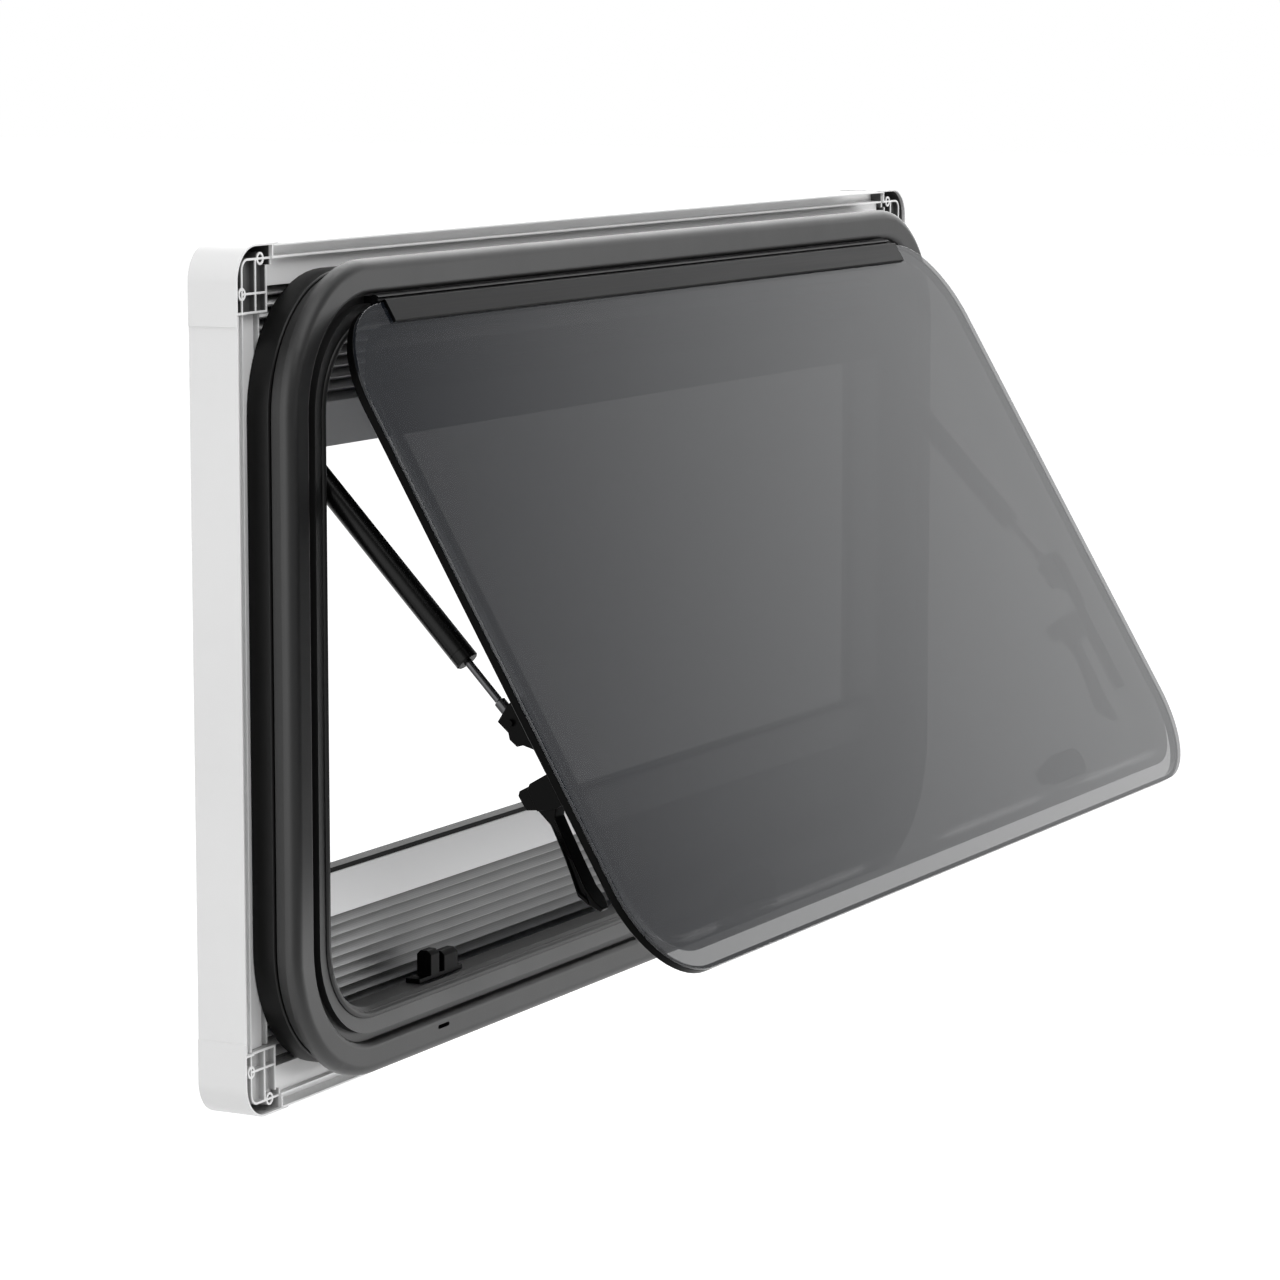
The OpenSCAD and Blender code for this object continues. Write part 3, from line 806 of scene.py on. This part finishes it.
@dataclass
class Screws:
    """The raised countersunk screws of one side's fittings."""

    side: Side
    radius: float = 2.6 * MM
    rise: float = 0.9 * MM
    recess: float = 1.1 * MM
    recess_share: float = 0.18
    dome_shares: tuple[tuple[float, float], ...] = ((0.38, 1.0), (0.62, 0.86), (0.86, 0.52), (1.0, 0.0))
    sides: int = 28
    pane_back: float = 17.0 * MM
    plate: float = 3.0 * MM
    stay_across: float = 471.7 * MM
    latch_across: float = 465.0 * MM
    bracket_downs: tuple[float, float] = (326.0 * MM, 338.0 * MM)
    latch_downs: tuple[float, float] = (376.0 * MM, 412.0 * MM)
    keeper_foot: float = 3.5 * MM

    def build(self) -> list[bpy.types.Object]:
        """Makes all screws of this side as one piece.

        Returns:
            The piece, in a list.
        """
        shape = bmesh.new()
        for place, way in self._places():
            self._head(shape, place, way)
        return [new_piece(f"{self.side.word}_screws", shape, SCREW_STEEL)]

    def _places(self) -> list[tuple[Vector, Vector]]:
        """Finds the foot and the direction of every screw.

        Returns:
            A foot and a direction for each.
        """
        over = self.pane_back + self.plate
        found = []
        for across, downs in ((self.stay_across, self.bracket_downs), (self.latch_across, self.latch_downs)):
            found += [(SASH.point(self.side.value * across, over, down), SASH.inward()) for down in downs]
        low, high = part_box(f"{self.side.word}_keeper")
        for end in (low.x + 2 * self.radius, high.x - 2 * self.radius):
            foot = Vector((end, (low.y + high.y) / 2, low.z + self.keeper_foot))
            found.append((foot, Vector((0.0, 0.0, 1.0))))
        return found

    def _head(self, shape: BMesh, place: Vector, way: Vector) -> None:
        """Spins one head with its recess.

        Args:
            shape: The mesh that takes the head.
            place: Where the head sits.
            way: Its direction.
        """
        before = set(shape.verts)
        bottom = self.rise - self.recess
        line = [(0.0, bottom), (self.recess_share, bottom)]
        line += [(across, self.rise * up) for across, up in self.dome_shares]
        verts = [shape.verts.new((share * self.radius, 0.0, height)) for share, height in line]
        edges = [shape.edges.new(pair) for pair in zip(verts, verts[1:])]
        bmesh.ops.spin(
            shape, geom=verts + edges, cent=(0.0, 0.0, 0.0), axis=(0.0, 0.0, 1.0), dvec=(0.0, 0.0, 0.0),
            angle=math.tau, steps=self.sides, use_merge=True, use_duplicate=False,
        )
        turn = way.to_track_quat("Z", "Y").to_matrix().to_4x4()
        grown = [vert for vert in shape.verts if vert not in before]
        bmesh.ops.transform(shape, matrix=Matrix.Translation(place) @ turn, verts=grown)


@dataclass
class Cassette:
    """The four rails and four corner caps on the room side."""

    edge: Edges = Edges(0.3 * MM)

    def build(self) -> list[bpy.types.Object]:
        """Makes the cassette's shell.

        Returns:
            The level rails, the upright rails and the caps.
        """
        # Each end's caps carry their own painted shade in the hollows.
        ends = {"top": CAP_TOP_DEEP_SHADE, "bottom": CAP_BOTTOM_FAINT_SHADE}
        level = [soften(f"{end}_rail", self.edge, RAIL_ACROSS_PAINTED_LIGHTER) for end in ends]
        upright = [soften(f"{side.word}_rail", self.edge, RAIL_UP) for side in Side]
        caps = [
            soften(f"{end}_{side.word}_corner", self.edge, finish)
            for end, finish in ends.items() for side in Side
        ]
        return level + upright + caps


@dataclass
class PleatedSheet:
    """A sheet of cloth folded in even pleats, which stands for one node."""

    node: str
    finish: Pleated
    slot: str
    rests_on: str
    crease: float = 0.5 * MM
    thick: float = 0.35 * MM
    columns: int = 48
    waver: float = 0.25 * MM
    waver_turns: tuple[float, float] = (9.0, 23.0)
    waver_lean: float = 70.0
    seed: int = 3

    def build(self) -> list[bpy.types.Object]:
        """Folds the sheet inside its node's box.

        Returns:
            The sheet, in a list.
        """
        low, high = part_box(self.node)
        folds = 2 * fold_count(self.node)
        near = low.y + self.thick
        far = high.y - self.thick
        shape = bmesh.new()
        rows = [
            shape.verts.new((low.x, near if at % 2 == 0 else far, low.z + (high.z - low.z) * at / folds))
            for at in range(folds + 1)
        ]
        line = [shape.edges.new(pair) for pair in zip(rows, rows[1:])]
        self._unroll(shape, line, high.x - low.x)
        self._crease(shape)
        self._waver(shape)
        bmesh.ops.recalc_face_normals(shape, faces=shape.faces)
        bmesh.ops.solidify(shape, geom=shape.faces[:], thickness=self.thick)
        piece = new_piece(f"{self.node}_cloth", shape, self.finish)
        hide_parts(self.node)
        return [piece]

    def _unroll(self, shape: BMesh, line: Iterable[BMEdge], width: float) -> None:
        """Draws the folded line out across the window.

        Args:
            shape: The mesh that holds the line.
            line: The folded line's edges.
            width: Width of the sheet.
        """
        edges = list(line)
        for _ in range(self.columns):
            made = bmesh.ops.extrude_edge_only(shape, edges=edges)["geom"]
            moved = [part for part in made if isinstance(part, BMVert)]
            bmesh.ops.translate(shape, verts=moved, vec=(width / self.columns, 0.0, 0.0))
            edges = [part for part in made if isinstance(part, BMEdge)]

    def _crease(self, shape: BMesh) -> None:
        """Rounds every fold.

        Args:
            shape: The folded sheet.
        """
        folds = [edge for edge in shape.edges if edge.is_manifold and edge.calc_face_angle(0.0) > FOLD_ANGLE]
        bmesh.ops.bevel(
            shape, geom=folds, offset=self.crease, offset_type="OFFSET", segments=2,
            profile=0.5, affect="EDGES", clamp_overlap=True, material=-1,
        )

    def _waver(self, shape: BMesh) -> None:
        """Lets the folds sway a little, as hung cloth does.

        Args:
            shape: The folded sheet.
        """
        draw = random.Random(self.seed)
        slow, quick = ((turn, draw.uniform(0, math.tau)) for turn in self.waver_turns)
        for vert in shape.verts:
            sway = math.sin(slow[0] * vert.co.x + slow[1] + self.waver_lean * vert.co.z)
            sway += math.sin(quick[0] * vert.co.x + quick[1])
            vert.co.z += self.waver * sway / 2


@dataclass
class Blinds:
    """The pleated blind below, the flyscreen above and their end rails."""

    edge: Edges = Edges(0.5 * MM, 3)
    strip_edge: Edges = Edges(0.4 * MM)
    screen_seed: int = 8

    def build(self) -> list[bpy.types.Object]:
        """Makes the folded sheets and the rails that carry them.

        Returns:
            The end rails, the strip, the blind and the flyscreen.
        """
        ends = ("upper_end_rail", "lower_end_rail")
        rails = [soften(name, self.edge, END_RAIL) for name in ends]
        strip = soften("blind_strip", self.strip_edge, STRIP_BLACK)
        blind = PleatedSheet("blind", BLIND_CLOTH, "blind_pleat", "bottom_rail")
        screen = PleatedSheet(
            "flyscreen", SCREEN_CLOTH, "screen_pleat", "upper_end_rail", seed=self.screen_seed
        )
        return rails + [strip] + blind.build() + screen.build()


@dataclass(frozen=True)
class Lamp:
    """A soft rectangular lamp that faces the window."""

    name: str
    place: Triple
    size: tuple[float, float]
    radiance: float

    def build(self, target: Vector) -> None:
        """Hangs the lamp.

        Args:
            target: The point that it faces.
        """
        light = bpy.data.lights.new(self.name, "AREA")
        light.shape = "RECTANGLE"
        light.size, light.size_y = self.size
        light.energy = self.radiance * math.pi * self.size[0] * self.size[1]
        lamp = bpy.data.objects.new(self.name, light)
        lamp.location = self.place
        lamp.rotation_euler = (target - Vector(self.place)).to_track_quat("-Z", "Y").to_euler()
        bpy.context.scene.collection.objects.link(lamp)


@dataclass(frozen=True)
class Glow:
    """A level of light that changes along an axis, from one side to the other."""

    start: float
    end: float
    before: float
    after: float

    def level(self, along: Signal) -> Signal:
        """The level at each place along the axis."""
        return along.ramp(self.start, self.end, self.before, self.after)


@dataclass
class Studio:
    """Camera, lamps, pale world and pale floor."""

    eye: Triple = (-3.1227, -1.61854, 0.73752)
    azimuth: float = math.radians(-62.55)
    elevation: float = math.radians(7.91)
    lens_mm: float = 128.15
    sensor_mm: float = 36.0
    farthest: float = 100.0
    target: Triple = (0.0, -0.1, 0.28)
    lamps: tuple[Lamp, ...] = (
        Lamp("key", (-1.0, -1.6, 2.8), (2.0, 2.0), 3.9),
        Lamp("side", (-4.2, 0.6, 0.9), (3.0, 3.0), 1.75),
        Lamp("fill", (1.4, -2.2, -0.1), (2.2, 0.5), 8.0),
    )
    ambient: float = 0.40
    right_glow: Glow = Glow(0.858, 0.94, 0.5, 2.75)
    rear_glow: Glow = Glow(-0.31, -0.1, 0.5, 4.2)
    left_dim: Glow = Glow(0.1, 0.8, 0.3, 1.0)
    floor_z: float = -0.40
    floor_size: float = 60.0
    floor_level: float = 0.8
    floor_roughness: float = 0.9
    floor_lift: float = 0.8
    floor_glow: Glow = Glow(-1.2, 0.3, 0.1, 1.4)

    def build(self) -> None:
        """Sets up everything that isn't part of the window."""
        self._camera()
        self._world()
        self._floor()
        for lamp in self.lamps:
            lamp.build(Vector(self.target))
        bpy.context.scene.view_settings.view_transform = "Standard"

    def _camera(self) -> None:
        """Places the camera at the photograph's view."""
        camera = bpy.data.objects.new("camera", bpy.data.cameras.new("camera"))
        camera.data.sensor_width = self.sensor_mm
        camera.data.lens = self.lens_mm
        camera.data.clip_end = self.farthest
        level = math.cos(self.elevation)
        across, depth = math.sin(self.azimuth) * level, -math.cos(self.azimuth) * level
        back = Vector((across, depth, math.sin(self.elevation)))
        camera.location = self.eye
        camera.rotation_euler = (-back).to_track_quat("-Z", "Y").to_euler()
        bpy.context.scene.collection.objects.link(camera)
        bpy.context.scene.camera = camera

    def _world(self) -> None:
        """White to the camera, a plain level on the window, and brighter sides in reflections."""
        world = bpy.data.worlds.new("studio")
        world.use_nodes = True
        tree = Tree(world.node_tree)
        across = tree.along("Generated", "X")
        depth = tree.along("Generated", "Y")
        bright = self.right_glow.level(across).at_least(self.rear_glow.level(depth))
        mirrored = bright * self.left_dim.level(across)
        unseen = tree.choose(tree.ray("Is Glossy Ray"), self.ambient, mirrored)
        shown = tree.ray("Is Camera Ray").at_least(tree.ray("Is Transmission Ray"))
        strength = tree.choose(shown, unseen, 1.0)
        sky = tree.node("ShaderNodeBackground", {}, {"Color": WHITE, "Strength": strength})
        tree.end("ShaderNodeOutputWorld", sky)
        bpy.context.scene.world = world

    def _floor(self) -> None:
        """A pale floor that keeps the window's shadow."""
        shape = bmesh.new()
        bmesh.ops.create_grid(shape, x_segments=1, y_segments=1, size=self.floor_size / 2)
        bmesh.ops.translate(shape, verts=shape.verts, vec=(0.0, 0.0, self.floor_z))
        mesh = bpy.data.meshes.new("floor")
        shape.to_mesh(mesh)
        shape.free()
        recipe = Recipe("pale_floor")
        mirrored = recipe.ray("Is Glossy Ray") * self.floor_glow.level(recipe.along("Object", "Y"))
        recipe.set(
            Base_Color=(*grey(self.floor_level), 1.0),
            Roughness=self.floor_roughness,
            Specular_IOR_Level=0.0,
            Emission_Color=WHITE,
            Emission_Strength=recipe.ray("Is Camera Ray").at_least(mirrored) * self.floor_lift,
        )
        mesh.materials.append(recipe.material)
        floor = bpy.data.objects.new("floor", mesh)
        bpy.context.scene.collection.objects.link(floor)


def main() -> None:
    """Builds the studio and every sub-assembly, and reports each piece."""
    logging.basicConfig(level=logging.INFO, format="%(message)s")
    Studio().build()
    assemblies = [OuterFrame(), Sash(), Cassette(), Blinds()]
    for side in Side:
        assemblies += [Stay(side), Latches(side), Screws(side)]
    for assembly in assemblies:
        for piece in assembly.build():
            log.info("%s: %d faces", piece.name, len(piece.data.polygons))


if __name__ == "__main__":
    main()
